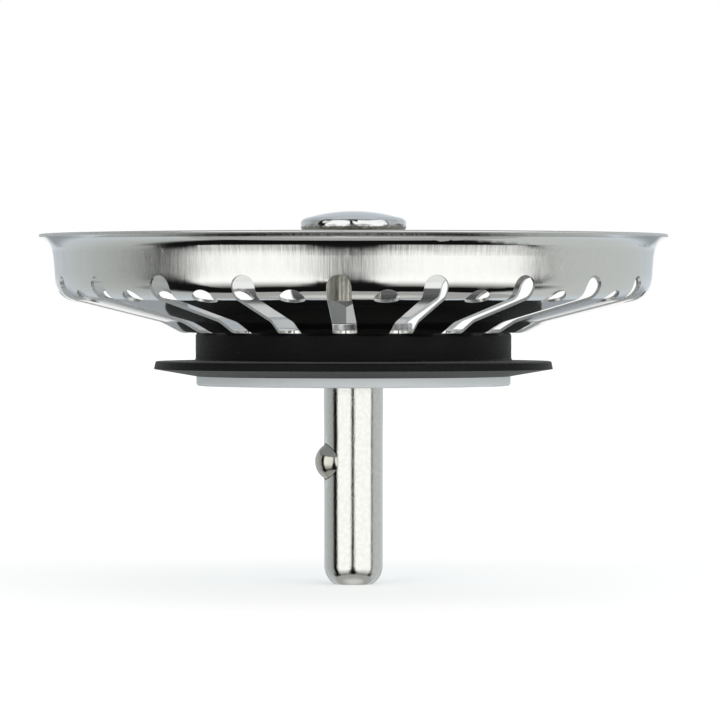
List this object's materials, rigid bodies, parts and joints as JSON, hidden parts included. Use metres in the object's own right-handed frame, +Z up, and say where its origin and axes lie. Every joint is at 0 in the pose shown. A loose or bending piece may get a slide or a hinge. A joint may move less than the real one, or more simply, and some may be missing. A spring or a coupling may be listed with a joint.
{
  "type": "sink basket strainer plug",
  "caption": "Removable strainer plug for a sink basket waste: slotted pressed steel bowl, pull knob, rubber seal, backing washer and a guide post with a spring ball detent.",
  "frame": {"origin": "on the plug's axis, in the plane of the rubber flange's lower outer edge, where it meets the waste's seat", "axes": "+Z up along the axis to the knob, the detent ball on the -X side"},
  "size_m": [0.08, 0.08, 0.0476],
  "materials": {
    "pressed_steel": "satin wall, bright cone",
    "plated_knob": "polished plating",
    "plated_spindle": "plated turned bar",
    "steel_washer": "plain stamped",
    "black_rubber": "moulded, faint mould lines",
    "white_plastic": "matt moulded",
    "plated_post": "plated, fine grained",
    "ball_steel": "polished ball",
    "spring_steel": "drawn wire"
  },
  "bodies": {
    "plug": {"basket": "pressed_steel", "knob": "plated_knob", "spindle": "plated_spindle", "clamp_washer": "steel_washer", "rubber_seal": "black_rubber", "backing_washer": "white_plastic", "guide_post": "plated_post", "detent_spring": "spring_steel"},
    "ball": {"detent_ball": "ball_steel"}
  },
  "joints": [
    {"name": "ball_press", "type": "slide", "parent": "plug", "child": "ball", "axis": [1, 0, 0], "range_m": [0, 0.00125], "stiffness_N_per_m": 1500, "springref_m": -0.001, "deforming": ["detent_spring"]}
  ]
}
